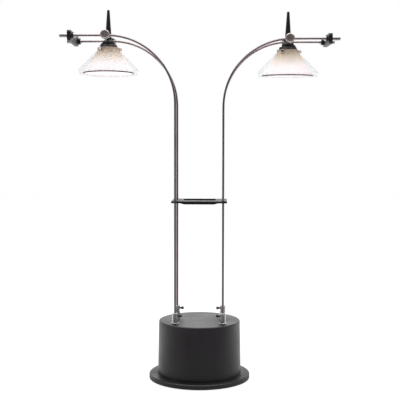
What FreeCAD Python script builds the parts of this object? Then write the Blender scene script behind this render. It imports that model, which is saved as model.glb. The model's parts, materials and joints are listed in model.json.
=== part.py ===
"""Twin-arm low-voltage table lamp: a weighted drum base with a transformer in it,
two arms of paired steel rods, and a glass-shaded head that slides and tilts on each arm.

Millimetres, +Z up, +X to the right, -Y to the front. The origin is the centre of the
base's underside."""
import FreeCAD, Part
import math
import os
import re
import Sketcher

Vector = FreeCAD.Vector
Rotation = FreeCAD.Rotation
Placement = FreeCAD.Placement

# ---------------------------------------------------------------- driving dimensions
SIZES = {
    # base: rubber pad, disc, drum
    "pad_thick": 1.5, "pad_radius": 75.0, "pad_bore": 30.0,
    "disc_radius": 79.8, "disc_thick": 7.2, "disc_chamfer": 1.2,
    "spigot_tall": 4.0, "spigot_wall": 4.0, "spigot_gap": 0.3,
    "drum_foot_radius": 66.0, "drum_head_radius": 64.3, "drum_tall": 84.4,
    "drum_wall": 2.5, "drum_roof": 3.0, "drum_round": 2.0,
    "boss_radius": 4.0, "boss_tall": 24.0, "boss_inset": 5.2,
    "screw_radius": 1.5, "screw_head_radius": 3.0, "screw_head_tall": 1.8, "screw_grip": 10.0,
    "screw_gap": 0.2, "screw_tip_gap": 1.0, "blind_floor": 1.5, "blind_gap": 0.5,
    # transformer: laminated core standing on the disc, spool, coil, strap
    "core_wide": 84.0, "core_tall": 70.0, "core_deep": 36.0, "core_leg": 14.0,
    "core_lift": 1.5,
    "spool_gap": 0.4, "spool_wall": 1.2, "coil_thick": 9.5, "coil_gap": 0.2,
    "coil_inset": 0.5,
    "strap_thick": 1.2, "strap_wide": 22.0, "strap_foot": 10.0, "strap_gap": 0.1,
    # mains inlet and terminal block
    "gland_radius": 5.0, "gland_bore": 3.2, "gland_rim_radius": 7.0, "gland_rim_thick": 2.5,
    "gland_height": 20.0, "gland_inside": 8.0, "gland_gap": 0.1, "gland_rim_gap": 0.4,
    "terminal_long": 40.0, "terminal_deep": 12.0, "terminal_tall": 11.0, "terminal_back": 36.0,
    "terminal_pitch": 10.0, "terminal_hole": 1.8, "terminal_hole_deep": 5.5,
    # rods and their sockets
    "rod_radius": 1.75, "rod_spread": 37.1, "row_offset": 33.0, "rod_depth": 26.0,
    "bend_radius": 104.0, "run_height": 535.0, "rod_reach": 210.5,
    "left_front_set": 3.3, "left_rear_set": 2.3, "right_front_set": -2.2, "right_rear_set": 0.6,
    "socket_radius": 4.6, "socket_tall": 16.9, "socket_foot_radius": 6.15, "socket_foot_tall": 1.5,
    "socket_edge": 0.6, "stem_radius": 3.9, "stem_long": 15.0, "stem_gap": 0.15,
    "nut_radius": 7.5, "nut_tall": 5.0, "lug_radius": 7.0, "lug_thick": 0.8, "lug_tail": 12.0,
    "lug_tail_wide": 4.0,
    "slide_gap": 0.08,
    # grip screws that lock the rods in the sockets
    "grip_height": 12.6, "grip_shank_radius": 1.5, "grip_reach": 6.4, "grip_ball_radius": 2.5,
    "grip_gap": 0.1, "grip_tip_gap": 0.25,
    # bridge that joins the two arms half way up
    "bridge_top": 284.2, "bridge_wing": 5.9, "bridge_margin": 5.0, "bridge_thick": 3.0,
    "belly_thick": 4.7, "belly_flat": 46.0, "belly_foot": 58.0,
    "well_long": 51.0, "well_wide": 42.0, "well_deep": 3.0, "well_back": 12.0, "well_round": 6.0,
    "bridge_screw_radius": 0.9, "bridge_screw_gap": 0.1,
    # end bars, caps, bushes and collars
    "bar_reach": 199.6, "bar_thick": 5.5, "bar_margin": 5.0, "bar_tall": 16.0, "bar_round": 3.5,
    "cap_radius": 3.4, "cap_end": 214.5, "cap_gap": 0.1,
    "bush_radius": 5.0, "bush_long": 4.0, "collar_radius": 3.3, "collar_long": 3.0,
    # carriage on each arm: clamp blocks and knobs
    "left_head_reach": 143.5, "right_head_reach": 137.5,
    "block_radius": 5.0, "block_inner": 24.0, "block_outer": 38.0, "block_gap": 0.5,
    "stub_radius": 2.0, "stub_gap": 0.08, "stub_depth": 5.5, "block_socket_depth": 6.0,
    "knob_radius": 7.2, "knob_thick": 6.5, "knob_edge": 0.9, "knob_gap": 0.3,
    "knob_stud_radius": 2.0, "knob_stud_gap": 0.1, "knob_tip_gap": 0.3,
    # head: hub, body, handle
    "hub_radius": 5.2, "hub_top": 2.2, "hub_bottom": 8.0, "hub_edge": 1.0, "hub_web": 1.5,
    "neck_radius": 3.2, "peg_radius": 2.2, "peg_long": 6.5, "peg_gap": 0.1,
    "body_radius": 9.7, "body_wall": 1.6, "body_shoulder": 6.8, "body_top": 2.6,
    "brim_top": 10.5, "brim_bottom": 14.0, "brim_top_radius": 13.0, "brim_radius": 14.5,
    "brim_wall": 1.4, "hub_gap": 0.1,
    "handle_base": 5.6, "handle_top": 44.3, "handle_foot_radius": 4.6, "handle_tip_radius": 2.1,
    "dome_radius": 5.4, "side_screw_drop": 8.2, "side_screw_radius": 2.1, "side_screw_thick": 2.0,
    # lamp holder, capsule and gallery
    "gallery_radius": 12.0, "gallery_wall": 1.8, "gallery_tall": 9.0, "holder_gap": 1.2, "seat_gap": 0.1,
    "holder_tall": 12.0, "holder_edge": 1.0,
    "pin_radius": 0.5, "pin_spread": 3.2, "pin_long": 5.0, "pin_gap": 0.1,
    "pinch_wide": 9.0, "pinch_thick": 4.0, "pinch_tall": 8.0, "capsule_radius": 6.0,
    "capsule_tall": 15.0,
    "capsule_round": 1.5, "capsule_gap": 0.2, "fuse_depth": 1.0,
    # glass shades, measured down from the pivot
    "glass_top": 14.8, "mouth_gap": 0.6, "glass_neck_radius": 17.2, "glass_neck_foot": 19.2,
    "glass_round": 1.5, "frosted_rim_radius": 40.5, "frosted_rim": 54.0, "frosted_lip": 1.8,
    "glass_wall": 1.7, "clear_top": 20.5, "clear_flare": 25.4, "glass_step": 0.4,
    "clear_wide_radius": 47.0, "clear_wide": 49.6, "clear_rim_radius": 45.2, "clear_rim": 57.0,
    "clear_wall": 1.6, "clear_lip": 0.7, "clear_bend": 0.8, "clear_turn": 1.0, "clear_roll": 1.2,
    "clear_roll_radius": 1.8, "glue_gap": 0.1,
    "gallery_screw_drop": 17.2, "gallery_screw_radius": 1.4, "gallery_screw_gap": 0.3,
    "gallery_head_radius": 2.3, "gallery_head_gap": 0.8, "gallery_head_long": 3.2,
}

ARMS = {"left": -1, "right": 1}
ROWS = {"front": -1, "rear": 1}

doc = FreeCAD.newDocument("twin_arm_lamp")
sheet = doc.addObject("Spreadsheet::Sheet", "Sizes")
for line, (alias, value) in enumerate(SIZES.items(), start=1):
    sheet.set(f"A{line}", str(value))
    sheet.setAlias(f"A{line}", alias)
doc.recompute()

# ---------------------------------------------------------------- places worked out from the sizes
disc_top = "(pad_thick + disc_thick)"
drum_top = f"({disc_top} + drum_tall)"
drum_ceiling = f"({drum_top} - drum_roof)"
drum_bore = "(drum_foot_radius - drum_wall)"
boss_circle = "(drum_foot_radius - boss_inset)"
rod_bore = "(rod_radius + slide_gap)"
bar_inner = "(bar_reach - bar_thick / 2)"
bar_outer = "(bar_reach + bar_thick / 2)"
bush_inner = f"({bar_inner} - bush_long)"
bar_half_deep = "(row_offset + bar_margin)"
bridge_half_deep = "(row_offset + bridge_margin)"
bridge_half_wide = "(rod_spread + bridge_wing)"
block_bore = "(rod_radius + block_gap)"
gallery_bore = "(gallery_radius - gallery_wall)"
holder_radius = f"({gallery_bore} - holder_gap)"
glass_mouth = "(gallery_radius + mouth_gap)"
under_brim = "(-brim_top - brim_wall - seat_gap)"
gallery_head_start = "(glass_neck_radius + gallery_head_gap)"
core_foot = f"({disc_top} + core_lift)"
core_top = f"({core_foot} + core_tall)"


def bind(text):
    """Point each size name in an expression at its cell in the sheet."""
    return re.sub(r"[a-z][a-z_]*", lambda word: f"Sizes.{word[0]}" if word[0] in SIZES else word[0],
                  str(text))


def value_of(text):
    return float(sheet.evalExpression(bind(text)))


# ---------------------------------------------------------------- how pieces are built
def new_body(name):
    body = doc.addObject("PartDesign::Body", name)
    body.AllowCompound = True
    return body


def plane_of(body, role):
    return next(item for item in body.Origin.OriginFeatures if item.Role == role)


def arc_between(start, end, radius, side):
    """Arc of a given radius from start to end; side is 1 for a centre to the left, -1 to the right."""
    half = (end - start) * 0.5
    rise = math.sqrt(max(radius ** 2 - half.Length ** 2, 0.0))
    normal = Vector(-half.y, half.x, 0).normalize()
    centre = start + half + normal * rise * side
    first, last = (start, end) if side > 0 else (end, start)
    angles = [math.atan2(point.y - centre.y, point.x - centre.x) for point in (first, last)]
    return Part.ArcOfCircle(Part.Circle(centre, Vector(0, 0, 1), radius), *angles)


def draw_outline(sketch, corners, closed=True):
    """Lines through the corners. A corner is (x, y), or (x, y, radius, side) when an arc leads to it."""
    points = [Vector(value_of(corner[0]), value_of(corner[1]), 0) for corner in corners]
    count = len(points) if closed else len(points) - 1
    ends = {}
    for index in range(count):
        following = (index + 1) % len(points)
        leads = corners[following]
        ends[index] = (1, 2)
        if len(leads) == 4:
            radius, side = value_of(leads[2]), leads[3]
            sketch.addGeometry(arc_between(points[index], points[following], radius, side), False)
            if side < 0:
                ends[index] = (2, 1)
        else:
            sketch.addGeometry(Part.LineSegment(points[index], points[following]), False)
    for index in range(count if closed else count - 1):
        following = (index + 1) % count
        sketch.addConstraint(Sketcher.Constraint("Coincident", index, ends[index][1],
                                                 following, ends[following][0]))
    for index, corner in enumerate(corners):
        edge, end = (index, ends[index][0]) if index < count else (count - 1, ends[count - 1][1])
        for axis, along in (("DistanceX", points[index].x), ("DistanceY", points[index].y)):
            number = sketch.addConstraint(Sketcher.Constraint(axis, -1, 1, edge, end, along))
            sketch.setExpression(f"Constraints[{number}]", bind(corner[0 if axis == "DistanceX" else 1]))
        if len(corner) == 4:
            arc = (index - 1) % len(points)
            number = sketch.addConstraint(Sketcher.Constraint("Radius", arc, value_of(corner[2])))
            sketch.setExpression(f"Constraints[{number}]", bind(corner[2]))


def new_sketch(body, role, corners, closed=True, offset=None):
    sketch = body.newObject("Sketcher::SketchObject", f"{body.Name}_sketch")
    sketch.AttachmentSupport = [(plane_of(body, role), "")]
    sketch.MapMode = "FlatFace"
    if offset is not None:
        sketch.setExpression("AttachmentOffset.Base.z", bind(offset))
    draw_outline(sketch, corners, closed)
    doc.recompute()
    return sketch


def turned(name, corners):
    """A piece turned about its own Z axis from half an outline of (radius, height) corners."""
    body = new_body(name)
    add_turned(body, corners)
    return body


def add_turned(body, corners, kind="Revolution"):
    sketch = new_sketch(body, "XZ_Plane", corners)
    feature = body.newObject(f"PartDesign::{kind}", f"{body.Name}_turn")
    feature.Profile = sketch
    feature.ReferenceAxis = (sketch, ["V_Axis"])
    feature.Angle = 360
    doc.recompute()


def extrude(body, role, corners, length, offset=None, kind="Pad"):
    sketch = new_sketch(body, role, corners, offset=offset)
    feature = body.newObject(f"PartDesign::{kind}", f"{body.Name}_{kind.lower()}")
    feature.Profile = sketch
    feature.setExpression("Length", bind(length))
    doc.recompute()


def set_place(item, place, direction=Vector(0, 0, 1)):
    item.Placement = Placement(Vector(0, 0, 0), Rotation(Vector(0, 0, 1), direction))
    for axis, text in zip("xyz", place):
        item.setExpression(f"Placement.Base.{axis}", bind(text))


def cylinder(body, radius, length, place=("0", "0", "0"), direction=Vector(0, 0, 1), cut=False):
    kind = "Subtractive" if cut else "Additive"
    item = body.newObject(f"PartDesign::{kind}Cylinder", f"{body.Name}_cylinder")
    item.setExpression("Radius", bind(radius))
    item.setExpression("Height", bind(length))
    set_place(item, place, direction)
    doc.recompute()


def box(body, size, corner, cut=False):
    kind = "Subtractive" if cut else "Additive"
    item = body.newObject(f"PartDesign::{kind}Box", f"{body.Name}_box")
    for side, text in zip(("Length", "Width", "Height"), size):
        item.setExpression(side, bind(text))
    set_place(item, corner)
    doc.recompute()


def ring(body, outer, inner, length, place, direction=Vector(0, 0, 1)):
    """A washer or sleeve; the bore is cut along the same axis."""
    cylinder(body, outer, length, place, direction)
    cylinder(body, inner, length, place, direction, cut=True)


def group(name, pieces):
    compound = doc.addObject("Part::Compound", name)
    compound.Links = pieces
    doc.recompute()
    return compound


NODES = []


def keep(piece):
    NODES.append(piece)
    return piece


# ---------------------------------------------------------------- base
def build_foot_pad():
    corners = [("pad_bore", "0"), ("pad_radius", "0"), ("pad_radius", "pad_thick"), ("pad_bore", "pad_thick")]
    keep(turned("foot_pad", corners))


def boss_places():
    for quarter in range(4):
        angle = f"{45 + 90 * quarter} deg"
        yield f"{boss_circle} * cos({angle})", f"{boss_circle} * sin({angle})"


def build_base_disc():
    spigot = f"({drum_bore} - spigot_gap)"
    body = turned("base_disc", [
        ("0", "pad_thick"), ("disc_radius", "pad_thick"),
        ("disc_radius", f"{disc_top} - disc_chamfer"), ("disc_radius - disc_chamfer", disc_top),
        (spigot, disc_top), (spigot, f"{disc_top} + spigot_tall"),
        (f"{spigot} - spigot_wall", f"{disc_top} + spigot_tall"), (f"{spigot} - spigot_wall", disc_top),
        ("0", disc_top)])
    for across, along in boss_places():
        cylinder(body, "boss_radius + spigot_gap", "spigot_tall", (across, along, disc_top), cut=True)
        cylinder(body, "screw_radius + screw_gap", "disc_thick", (across, along, "pad_thick"), cut=True)
        cylinder(body, "screw_head_radius + screw_gap", "screw_head_tall + screw_gap",
                 (across, along, "pad_thick"), cut=True)
    return keep(body)


def build_drum():
    body = turned("drum_housing", [
        ("drum_foot_radius", disc_top),
        ("drum_head_radius", f"{drum_top} - drum_round"),
        ("drum_head_radius - drum_round", drum_top, "drum_round", 1),
        ("0", drum_top), ("0", drum_ceiling),
        ("drum_head_radius - drum_wall", drum_ceiling), (drum_bore, disc_top)])
    for across, along in boss_places():
        cylinder(body, "boss_radius", "boss_tall", (across, along, disc_top))
        cylinder(body, "screw_radius", "screw_grip", (across, along, disc_top), cut=True)
    for side in ARMS.values():
        for row in ROWS.values():
            cylinder(body, "stem_radius + stem_gap", "drum_roof",
                     (f"{side} * rod_spread", f"{row} * row_offset", drum_ceiling), cut=True)
    cylinder(body, "gland_radius + gland_gap", "drum_foot_radius",
             ("0", "0", f"{disc_top} + gland_height"), Vector(0, 1, 0), cut=True)
    keep(body)


def build_housing_screws():
    body = new_body("housing_screws")
    for across, along in boss_places():
        cylinder(body, "screw_head_radius", "screw_head_tall", (across, along, "pad_thick"))
        cylinder(body, "screw_radius", "disc_thick + screw_grip - screw_tip_gap",
                 (across, along, "pad_thick"))
    keep(body)


def build_transformer():
    leg = "(core_leg * 2)"
    window = "(core_wide / 2 - core_leg * 2)"
    window_tall = "(core_tall - core_leg * 2)"
    core = new_body("transformer_core")
    box(core, ("core_wide", "core_deep", "core_tall"), ("-core_wide / 2", "-core_deep / 2", core_foot))
    for left in (f"-core_leg - {window}", "core_leg"):
        box(core, (window, "core_deep", window_tall),
            (left, "-core_deep / 2", f"{core_foot} + core_leg"), cut=True)
    keep(core)

    bore_wide = f"({leg} + spool_gap * 2)"
    bore_deep = "(core_deep + spool_gap * 2)"
    spool_wide = f"({bore_wide} + spool_wall * 2)"
    spool_deep = f"({bore_deep} + spool_wall * 2)"
    spool_foot = f"({core_foot} + core_leg + spool_gap)"
    spool_tall = f"({window_tall} - spool_gap * 2)"
    flange_wide = f"({spool_wide} + coil_thick * 2 + coil_gap * 2)"
    flange_deep = f"({spool_deep} + coil_thick * 2 + coil_gap * 2)"
    spool = new_body("transformer_bobbin")
    box(spool, (spool_wide, spool_deep, spool_tall),
        (f"-{spool_wide} / 2", f"-{spool_deep} / 2", spool_foot))
    for height in (spool_foot, f"{spool_foot} + {spool_tall} - spool_wall"):
        box(spool, (flange_wide, flange_deep, "spool_wall"),
            (f"-{flange_wide} / 2", f"-{flange_deep} / 2", height))
    box(spool, (bore_wide, bore_deep, spool_tall),
        (f"-{bore_wide} / 2", f"-{bore_deep} / 2", spool_foot), cut=True)
    keep(spool)

    inner_wide = f"({spool_wide} + coil_gap * 2)"
    inner_deep = f"({spool_deep} + coil_gap * 2)"
    coil_foot = f"({spool_foot} + spool_wall + coil_gap)"
    coil_tall = f"({spool_tall} - spool_wall * 2 - coil_gap * 2)"
    coil = new_body("transformer_winding")
    coil_wide = f"({inner_wide} + (coil_thick - coil_inset) * 2)"
    coil_deep = f"({inner_deep} + (coil_thick - coil_inset) * 2)"
    box(coil, (coil_wide, coil_deep, coil_tall), (f"-{coil_wide} / 2", f"-{coil_deep} / 2", coil_foot))
    box(coil, (inner_wide, inner_deep, coil_tall),
        (f"-{inner_wide} / 2", f"-{inner_deep} / 2", coil_foot), cut=True)
    keep(coil)


def build_strap(disc):
    inner = "(core_wide / 2 + strap_gap)"
    outer = f"({inner} + strap_thick)"
    toe = f"({outer} + strap_foot)"
    roof = f"({core_top} + strap_gap)"
    strap = new_body("transformer_strap")
    extrude(strap, "XZ_Plane", [
        (f"-{toe}", disc_top), (f"-{inner}", disc_top), (f"-{inner}", roof), (inner, roof),
        (inner, disc_top), (toe, disc_top), (toe, f"{disc_top} + strap_thick"),
        (outer, f"{disc_top} + strap_thick"), (outer, f"{roof} + strap_thick"),
        (f"-{outer}", f"{roof} + strap_thick"), (f"-{outer}", f"{disc_top} + strap_thick"),
        (f"-{toe}", f"{disc_top} + strap_thick")], "strap_wide", offset="-strap_wide / 2")
    screws = new_body("strap_screws")
    for side in ARMS.values():
        across = f"{side} * ({outer} + strap_foot / 2)"
        cylinder(strap, "screw_radius + screw_gap", "strap_thick", (across, "0", disc_top), cut=True)
        cylinder(disc, "screw_radius", "disc_thick - blind_floor",
                 (across, "0", "pad_thick + blind_floor"), cut=True)
        cylinder(screws, "screw_radius", "disc_thick + strap_thick - blind_floor - blind_gap",
                 (across, "0", "pad_thick + blind_floor + blind_gap"))
        cylinder(screws, "screw_head_radius", "screw_head_tall", (across, "0", f"{disc_top} + strap_thick"))
    keep(strap)
    keep(screws)


def build_inlet():
    height = f"{disc_top} + gland_height"
    wall = "(drum_foot_radius - (drum_foot_radius - drum_head_radius) * gland_height / drum_tall)"
    long = "(gland_inside + drum_wall + gland_rim_gap + gland_rim_thick)"
    back = Vector(0, 1, 0)
    gland = new_body("cable_gland")
    start = ("0", f"{wall} - drum_wall - gland_inside", height)
    cylinder(gland, "gland_radius", long, start, back)
    cylinder(gland, "gland_rim_radius", "gland_rim_thick", ("0", f"{wall} + gland_rim_gap", height), back)
    cylinder(gland, "gland_bore", long, start, back, cut=True)
    keep(gland)

    block = new_body("terminal_block")
    box(block, ("terminal_long", "terminal_deep", "terminal_tall"),
        ("-terminal_long / 2", "-terminal_back - terminal_deep / 2", disc_top))
    hole_foot = f"{disc_top} + terminal_tall - terminal_hole_deep"
    for steps in (-1.5, -0.5, 0.5, 1.5):
        cylinder(block, "terminal_hole", "terminal_hole_deep",
                 (f"{steps} * terminal_pitch", "-terminal_back", hole_foot), cut=True)
    keep(block)


# ---------------------------------------------------------------- sockets on the drum
def build_sockets():
    sockets = []
    nuts = new_body("socket_nuts")
    lugs = new_body("socket_lugs")
    for arm, side in ARMS.items():
        for row_name, row in ROWS.items():
            across, along = f"{side} * rod_spread", f"{row} * row_offset"
            socket = turned(f"socket_{arm}_{row_name}", [
                (rod_bore, f"{drum_top} - stem_long"), ("stem_radius", f"{drum_top} - stem_long"),
                ("stem_radius", drum_top), ("socket_foot_radius", drum_top),
                ("socket_foot_radius", f"{drum_top} + socket_foot_tall"),
                ("socket_radius", f"{drum_top} + socket_foot_tall"),
                ("socket_radius", f"{drum_top} + socket_tall - socket_edge"),
                ("socket_radius - socket_edge", f"{drum_top} + socket_tall"),
                (rod_bore, f"{drum_top} + socket_tall")])
            cylinder(socket, "grip_shank_radius + grip_gap", "socket_radius",
                     ("0", "0", f"{drum_top} + grip_height"), Vector(-side, 0, 0), cut=True)
            set_place(socket, (across, along, "0"))
            sockets.append(socket)
            nut = nuts.newObject("PartDesign::AdditivePrism", "socket_nut")
            nut.Polygon = 6
            nut.setExpression("Circumradius", bind("nut_radius"))
            nut.setExpression("Height", bind("nut_tall"))
            nut_foot = f"{drum_ceiling} - lug_thick - nut_tall"
            set_place(nut, (across, along, nut_foot))
            doc.recompute()
            cylinder(nuts, "stem_radius", "nut_tall", (across, along, nut_foot), cut=True)
            lug_foot = f"{drum_ceiling} - lug_thick"
            cylinder(lugs, "lug_radius", "lug_thick", (across, along, lug_foot))
            tail_start = f"{side} * (rod_spread - lug_tail / 2) - lug_tail / 2"
            box(lugs, ("lug_tail", "lug_tail_wide", "lug_thick"),
                (tail_start, f"{along} - lug_tail_wide / 2", lug_foot))
            cylinder(lugs, "stem_radius", "lug_thick", (across, along, lug_foot), cut=True)
    keep(group("rod_sockets", sockets))
    keep(nuts)
    keep(lugs)


def build_grip_screws():
    """Ball-headed screws that point from the lamp's middle outward, each against its rod."""
    tip = "(rod_radius + grip_tip_gap)"
    middle = "(grip_reach + sqrt(grip_ball_radius ^ 2 - grip_shank_radius ^ 2))"
    for arm, side in ARMS.items():
        for row_name, row in ROWS.items():
            screw = turned(f"grip_screw_{arm}_{row_name}", [
                ("0", tip), ("grip_shank_radius", tip), ("grip_shank_radius", "grip_reach"),
                ("0", f"{middle} + grip_ball_radius", "grip_ball_radius", 1)])
            set_place(screw, (f"{side} * rod_spread", f"{row} * row_offset", f"{drum_top} + grip_height"),
                      Vector(-side, 0, 0))
            keep(screw)


# ---------------------------------------------------------------- rods, bridge and end bars
def run_level(arm, row_name):
    return f"(run_height + {arm}_{row_name}_set)"


def build_rods():
    for arm, side in ARMS.items():
        for row_name, row in ROWS.items():
            level = run_level(arm, row_name)
            foot = f"({drum_top} - rod_depth + {arm}_{row_name}_set)"
            rod = new_body(f"rod_{arm}_{row_name}")
            path = new_sketch(rod, "XZ_Plane", [
                (f"{side} * rod_spread", foot),
                (f"{side} * rod_spread", f"{level} - bend_radius"),
                (f"{side} * (rod_spread + bend_radius)", level, "bend_radius", -side),
                (f"{side} * rod_reach", level)], closed=False)
            section = rod.newObject("Sketcher::SketchObject", f"{rod.Name}_section")
            section.AttachmentSupport = [(plane_of(rod, "XY_Plane"), "")]
            section.MapMode = "FlatFace"
            section.setExpression("AttachmentOffset.Base.z", bind(foot))
            centre = Vector(value_of(f"{side} * rod_spread"), 0, 0)
            section.addGeometry(Part.Circle(centre, Vector(0, 0, 1), value_of("rod_radius")), False)
            for kind, text in (("DistanceX", f"{side} * rod_spread"), ("DistanceY", "0")):
                number = section.addConstraint(Sketcher.Constraint(kind, -1, 1, 0, 3, value_of(text)))
                section.setExpression(f"Constraints[{number}]", bind(text))
            number = section.addConstraint(Sketcher.Constraint("Radius", 0, value_of("rod_radius")))
            section.setExpression(f"Constraints[{number}]", bind("rod_radius"))
            doc.recompute()
            sweep = rod.newObject("PartDesign::AdditivePipe", f"{rod.Name}_pipe")
            sweep.Profile = section
            sweep.Spine = (path, [])
            set_place(rod, ("0", f"{row} * row_offset", "0"))
            doc.recompute()
            keep(rod)


def build_bridge():
    under = "(bridge_top - bridge_thick)"
    belly = "(bridge_top - belly_thick)"
    bridge = new_body("bridge_bar")
    extrude(bridge, "XZ_Plane", [
        (f"-{bridge_half_wide}", "bridge_top"), (f"-{bridge_half_wide}", under), ("-belly_foot / 2", under),
        ("-belly_flat / 2", belly), ("belly_flat / 2", belly), ("belly_foot / 2", under),
        (bridge_half_wide, under), (bridge_half_wide, "bridge_top")], f"{bridge_half_deep} * 2",
        offset=f"-{bridge_half_deep}")
    near, far = "(well_back - well_wide / 2)", "(well_back + well_wide / 2)"
    half = "(well_long / 2)"
    extrude(bridge, "XY_Plane", [
        (f"-{half} + well_round", near), (f"{half} - well_round", near),
        (half, f"{near} + well_round", "well_round", 1), (half, f"{far} - well_round"),
        (f"{half} - well_round", far, "well_round", 1), (f"-{half} + well_round", far),
        (f"-{half}", f"{far} - well_round", "well_round", 1), (f"-{half}", f"{near} + well_round")],
        "well_deep", offset="bridge_top", kind="Pocket")
    screws = new_body("bridge_screws")
    for side in ARMS.values():
        for row in ROWS.values():
            place = (f"{side} * rod_spread", f"{row} * row_offset", belly)
            cylinder(bridge, rod_bore, "belly_thick", place, cut=True)
    middle = "bridge_top - bridge_thick / 2"
    for row in ROWS.values():
        inward = Vector(0, -row, 0)
        start = ("-rod_spread", f"{row} * {bridge_half_deep}", middle)
        cylinder(bridge, "bridge_screw_radius + bridge_screw_gap", "bridge_margin", start, inward, cut=True)
        cylinder(screws, "bridge_screw_radius", "bridge_margin - rod_radius - bridge_screw_gap",
                 start, inward)
    keep(bridge)
    keep(screws)


def lean_of(arm):
    """Roll of a head about X, from the two rods of an arm sitting at slightly different heights."""
    return f"atan(({arm}_rear_set - {arm}_front_set) / (2 * row_offset))"


def set_on_arm(item, arm, across):
    """Put a piece that is drawn about the pivot centre on its arm."""
    level = f"run_height + ({arm}_front_set + {arm}_rear_set) / 2"
    item.Placement = Placement(Vector(0, 0, 0), Rotation(Vector(1, 0, 0), 1))
    item.setExpression("Placement.Rotation.Angle", bind(lean_of(arm)))
    for axis, text in (("x", across), ("z", level)):
        item.setExpression(f"Placement.Base.{axis}", bind(text))
    doc.recompute()


def build_arm_end(arm, side):
    outward = Vector(side, 0, 0)
    half_deep, half_tall = bar_half_deep, "(bar_tall / 2)"
    bar = new_body(f"end_bar_{arm}")
    extrude(bar, "YZ_Plane", [
        (f"-{half_deep} + bar_round", f"-{half_tall}"), (f"{half_deep} - bar_round", f"-{half_tall}"),
        (half_deep, f"-{half_tall} + bar_round", "bar_round", 1), (half_deep, f"{half_tall} - bar_round"),
        (f"{half_deep} - bar_round", half_tall, "bar_round", 1), (f"-{half_deep} + bar_round", half_tall),
        (f"-{half_deep}", f"{half_tall} - bar_round", "bar_round", 1),
        (f"-{half_deep}", f"-{half_tall} + bar_round")], "bar_thick", offset="-bar_thick / 2")
    for row in ROWS.values():
        cylinder(bar, rod_bore, "bar_thick", ("-bar_thick / 2", f"{row} * row_offset", "0"),
                 Vector(1, 0, 0), cut=True)
    set_on_arm(bar, arm, f"{side} * bar_reach")
    keep(bar)

    caps, bushes, collars = (new_body(f"{kind}_{arm}") for kind in ("end_caps", "end_bushes", "end_collars"))
    for row_name, row in ROWS.items():
        along, level = f"{row} * row_offset", run_level(arm, row_name)

        def at(reach):
            return f"{side} * ({reach})", along, level

        cylinder(caps, "cap_radius", f"cap_end - {bar_outer}", at(bar_outer), outward)
        hole = f"rod_reach + cap_gap - {bar_outer}"
        cylinder(caps, "rod_radius + cap_gap", hole, at(bar_outer), outward, cut=True)
        ring(bushes, "bush_radius", rod_bore, "bush_long", at(bush_inner), outward)
        ring(collars, "collar_radius", rod_bore, "collar_long", at(f"{bush_inner} - collar_long"), outward)
    for piece in (caps, bushes, collars):
        keep(piece)


# ---------------------------------------------------------------- heads
def build_clamps(arm):
    blocks = new_body(f"clamp_blocks_{arm}")
    for row in ROWS.values():
        outward = Vector(0, row, 0)
        inner_face = ("0", f"{row} * block_inner", "0")
        cylinder(blocks, "block_radius", "block_outer - block_inner", inner_face, outward)
        cylinder(blocks, block_bore, "block_radius * 2", ("-block_radius", f"{row} * row_offset", "0"),
                 Vector(1, 0, 0), cut=True)
        cylinder(blocks, "stub_radius + stub_gap", "block_socket_depth", inner_face, outward, cut=True)
        cylinder(blocks, "knob_stud_radius + knob_stud_gap", "block_outer - row_offset",
                 ("0", f"{row} * row_offset", "0"), outward, cut=True)
    keep(blocks)
    pieces = [blocks]
    for row_name, row in ROWS.items():
        outward = Vector(0, row, 0)
        face = "(block_outer + knob_gap)"
        tip = "(row_offset + rod_radius + knob_tip_gap)"
        knob = turned(f"knob_blank_{arm}_{row_name}", [
            ("0", "0"), ("knob_radius - knob_edge", "0"), ("knob_radius", "knob_edge"),
            ("knob_radius", "knob_thick - knob_edge"), ("knob_radius - knob_edge", "knob_thick"),
            ("0", "knob_thick")])
        cylinder(knob, "knob_stud_radius", f"{face} - {tip}", ("0", "0", f"{tip} - {face}"))
        set_place(knob, ("0", f"{row} * {face}", "0"), outward)
        pieces.append(keep(group(f"clamp_knob_{arm}_{row_name}", [knob])))
    return pieces


def build_pivot(arm):
    hub = turned(f"pivot_hub_{arm}", [
        ("0", "-hub_bottom"), ("hub_radius", "-hub_bottom"), ("hub_radius", "hub_top - hub_edge"),
        ("hub_radius - hub_edge", "hub_top"), ("neck_radius", "hub_top"), ("neck_radius", "handle_base"),
        ("peg_radius", "handle_base"), ("peg_radius", "handle_base + peg_long"),
        ("0", "handle_base + peg_long")])
    stubs = new_body(f"pivot_stubs_{arm}")
    for row in ROWS.values():
        outward = Vector(0, row, 0)
        start = ("0", f"{row} * hub_web", "0")
        cylinder(hub, "stub_radius", "hub_radius", start, outward, cut=True)
        cylinder(stubs, "stub_radius", "block_inner + stub_depth - hub_web", start, outward)
    keep(hub)
    keep(stubs)
    return [hub, stubs]


def build_head_body(arm, side):
    mouth = "(hub_radius + hub_gap)"
    flare = "(brim_radius - brim_top_radius) * brim_wall / (brim_bottom - brim_top)"
    under_top = "-brim_top - brim_wall"
    body = turned(f"head_body_{arm}", [
        (mouth, "-body_top"), ("body_radius", "-body_shoulder", "dome_radius", -1),
        ("body_radius", "-brim_top"), ("brim_top_radius", "-brim_top"), ("brim_radius", "-brim_bottom"),
        ("brim_radius - brim_wall", "-brim_bottom"), (f"brim_top_radius - brim_wall + {flare}", under_top),
        ("body_radius - body_wall", under_top), ("body_radius - body_wall", "-body_shoulder"),
        (mouth, "-body_top - body_wall", "dome_radius - body_wall / 2", 1)])
    screw = new_body(f"side_screw_{arm}")
    outward = Vector(side, 0, 0)
    axis = ("0", "0", "-side_screw_drop")
    inner_face = (f"{side} * (body_radius - body_wall)", "0", "-side_screw_drop")
    outer_face = (f"{side} * body_radius", "0", "-side_screw_drop")
    cylinder(body, "screw_radius + screw_gap", "body_radius", axis, outward, cut=True)
    cylinder(screw, "screw_radius", "body_wall", inner_face, outward)
    cylinder(screw, "side_screw_radius", "side_screw_thick", outer_face, outward)
    keep(body)
    keep(screw)
    return [body, screw]


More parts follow.
